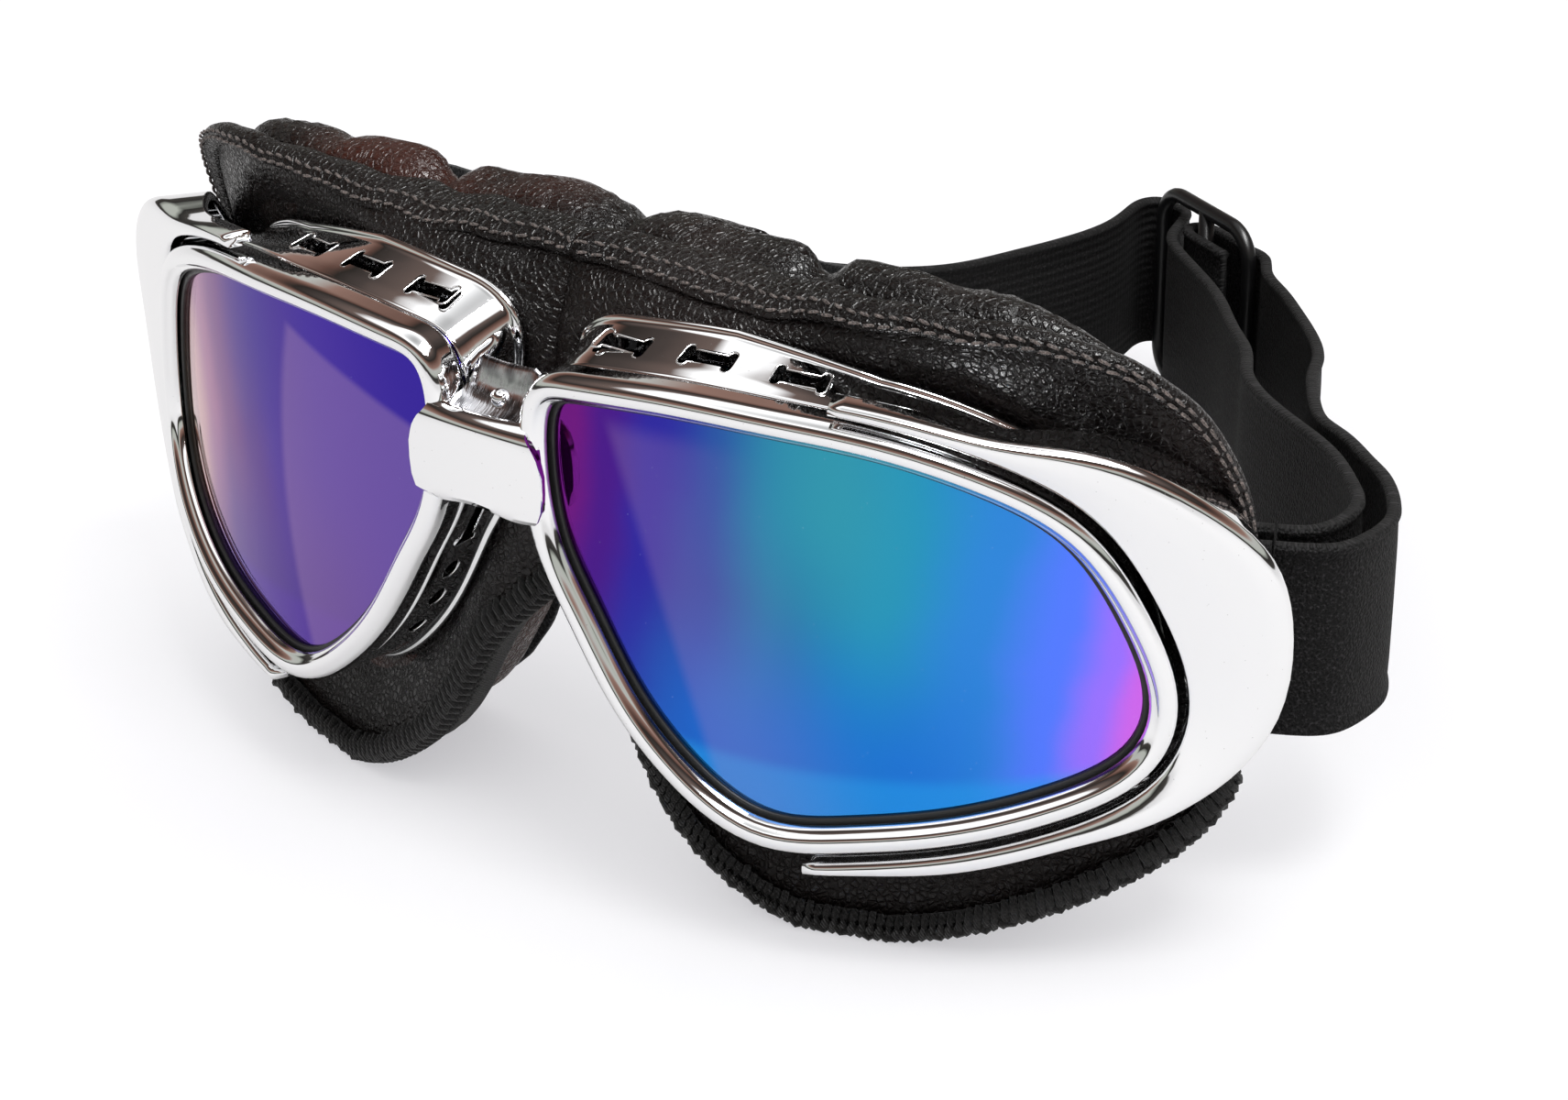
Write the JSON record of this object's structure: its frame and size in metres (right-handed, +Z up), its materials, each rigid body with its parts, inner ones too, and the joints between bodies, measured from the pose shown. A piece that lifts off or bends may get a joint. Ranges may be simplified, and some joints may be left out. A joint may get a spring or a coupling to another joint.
{
  "type": "riding goggles",
  "caption": "Chromed riding goggles with wrapped mirror lenses, a hinged bridge, a padded leather face pad and an adjustable elastic strap.",
  "frame": {"origin": "on the surface that the goggles stand on, under the middle of the whole from the face to the strap's slider", "axes": "+Z up from the lower edge of the pad to the brow, +Y from the lenses back to the strap's slider, +X towards the wearer's left"},
  "size_m": [0.1816, 0.1926, 0.0806],
  "materials": {
    "chrome_bezel": "bright plated ring",
    "chrome_frame": "bright plated eyecup",
    "chrome_cover": "bright plated shell",
    "chrome_saddle": "bright plated block",
    "chrome_plate": "bright plated, left bare",
    "steel_pin": "bright steel",
    "steel_bar": "drawn steel",
    "steel_screw": "bright steel",
    "mirrored_lens": "blue and purple mirror coating on polycarbonate",
    "rubber_gasket": "matt black",
    "pebbled_leather": "black, fine pebbled grain",
    "padded_leather": "black, soft, over foam",
    "lining_fleece": "black brushed fleece",
    "overlock_thread": "black overlock stitches",
    "elastic_webbing": "black knitted elastic",
    "black_nylon": "black moulded nylon"
  },
  "bodies": {
    "bridge": {"bridge_saddle": "chrome_saddle", "bridge_cover": "chrome_plate", "cover_stud": "steel_pin", "bridge_rivet": "steel_pin", "hinge_pin_left": "steel_pin", "hinge_pin_right": "steel_pin", "nose_leather": "pebbled_leather", "brow_pad": "padded_leather", "strap_outer_run": "elastic_webbing", "strap_inner_run": "elastic_webbing", "strap_rear_run": "elastic_webbing"},
    "left_half": {"lens_left": "mirrored_lens", "lens_gasket_left": "rubber_gasket", "lens_bezel_left": "chrome_bezel", "eyecup_frame_left": "chrome_frame", "temple_cover_left": "chrome_cover", "leather_skirt_left": "pebbled_leather", "face_cushion_left": "padded_leather", "face_lining_left": "lining_fleece", "edge_binding_left": "overlock_thread", "strap_bracket_left": "black_nylon", "strap_bar_left": "steel_bar", "strap_end_left": "elastic_webbing", "cover_screw_upper_left": "steel_screw", "cover_screw_lower_left": "steel_screw"},
    "right_half": {"lens_right": "mirrored_lens", "lens_gasket_right": "rubber_gasket", "lens_bezel_right": "chrome_bezel", "eyecup_frame_right": "chrome_frame", "temple_cover_right": "chrome_cover", "leather_skirt_right": "pebbled_leather", "face_cushion_right": "padded_leather", "face_lining_right": "lining_fleece", "edge_binding_right": "overlock_thread", "strap_bracket_right": "black_nylon", "strap_bar_right": "steel_bar", "strap_end_right": "elastic_webbing", "cover_screw_upper_right": "steel_screw", "cover_screw_lower_right": "steel_screw"},
    "slider": {"strap_slider": "black_nylon", "strap_sewn_end": "elastic_webbing"}
  },
  "joints": [
    {"name": "left_fold", "type": "hinge", "parent": "bridge", "child": "left_half", "pos_m": [0.0034, -0.0883, 0.057], "axis": [0, 0, 1], "range_deg": [0, 25], "deforming": ["nose_leather", "brow_pad", "strap_outer_run", "strap_inner_run"]},
    {"name": "right_fold", "type": "hinge", "parent": "bridge", "child": "right_half", "pos_m": [-0.0034, -0.0883, 0.057], "axis": [0, 0, -1], "range_deg": [0, 25], "deforming": ["nose_leather", "brow_pad", "strap_rear_run"]},
    {"name": "strap_slide", "type": "slide", "parent": "bridge", "child": "slider", "axis": [-0.8829, 0.4695, 0], "range_m": [-0.01, 0.01], "deforming": ["strap_outer_run", "strap_inner_run", "strap_rear_run"]}
  ]
}
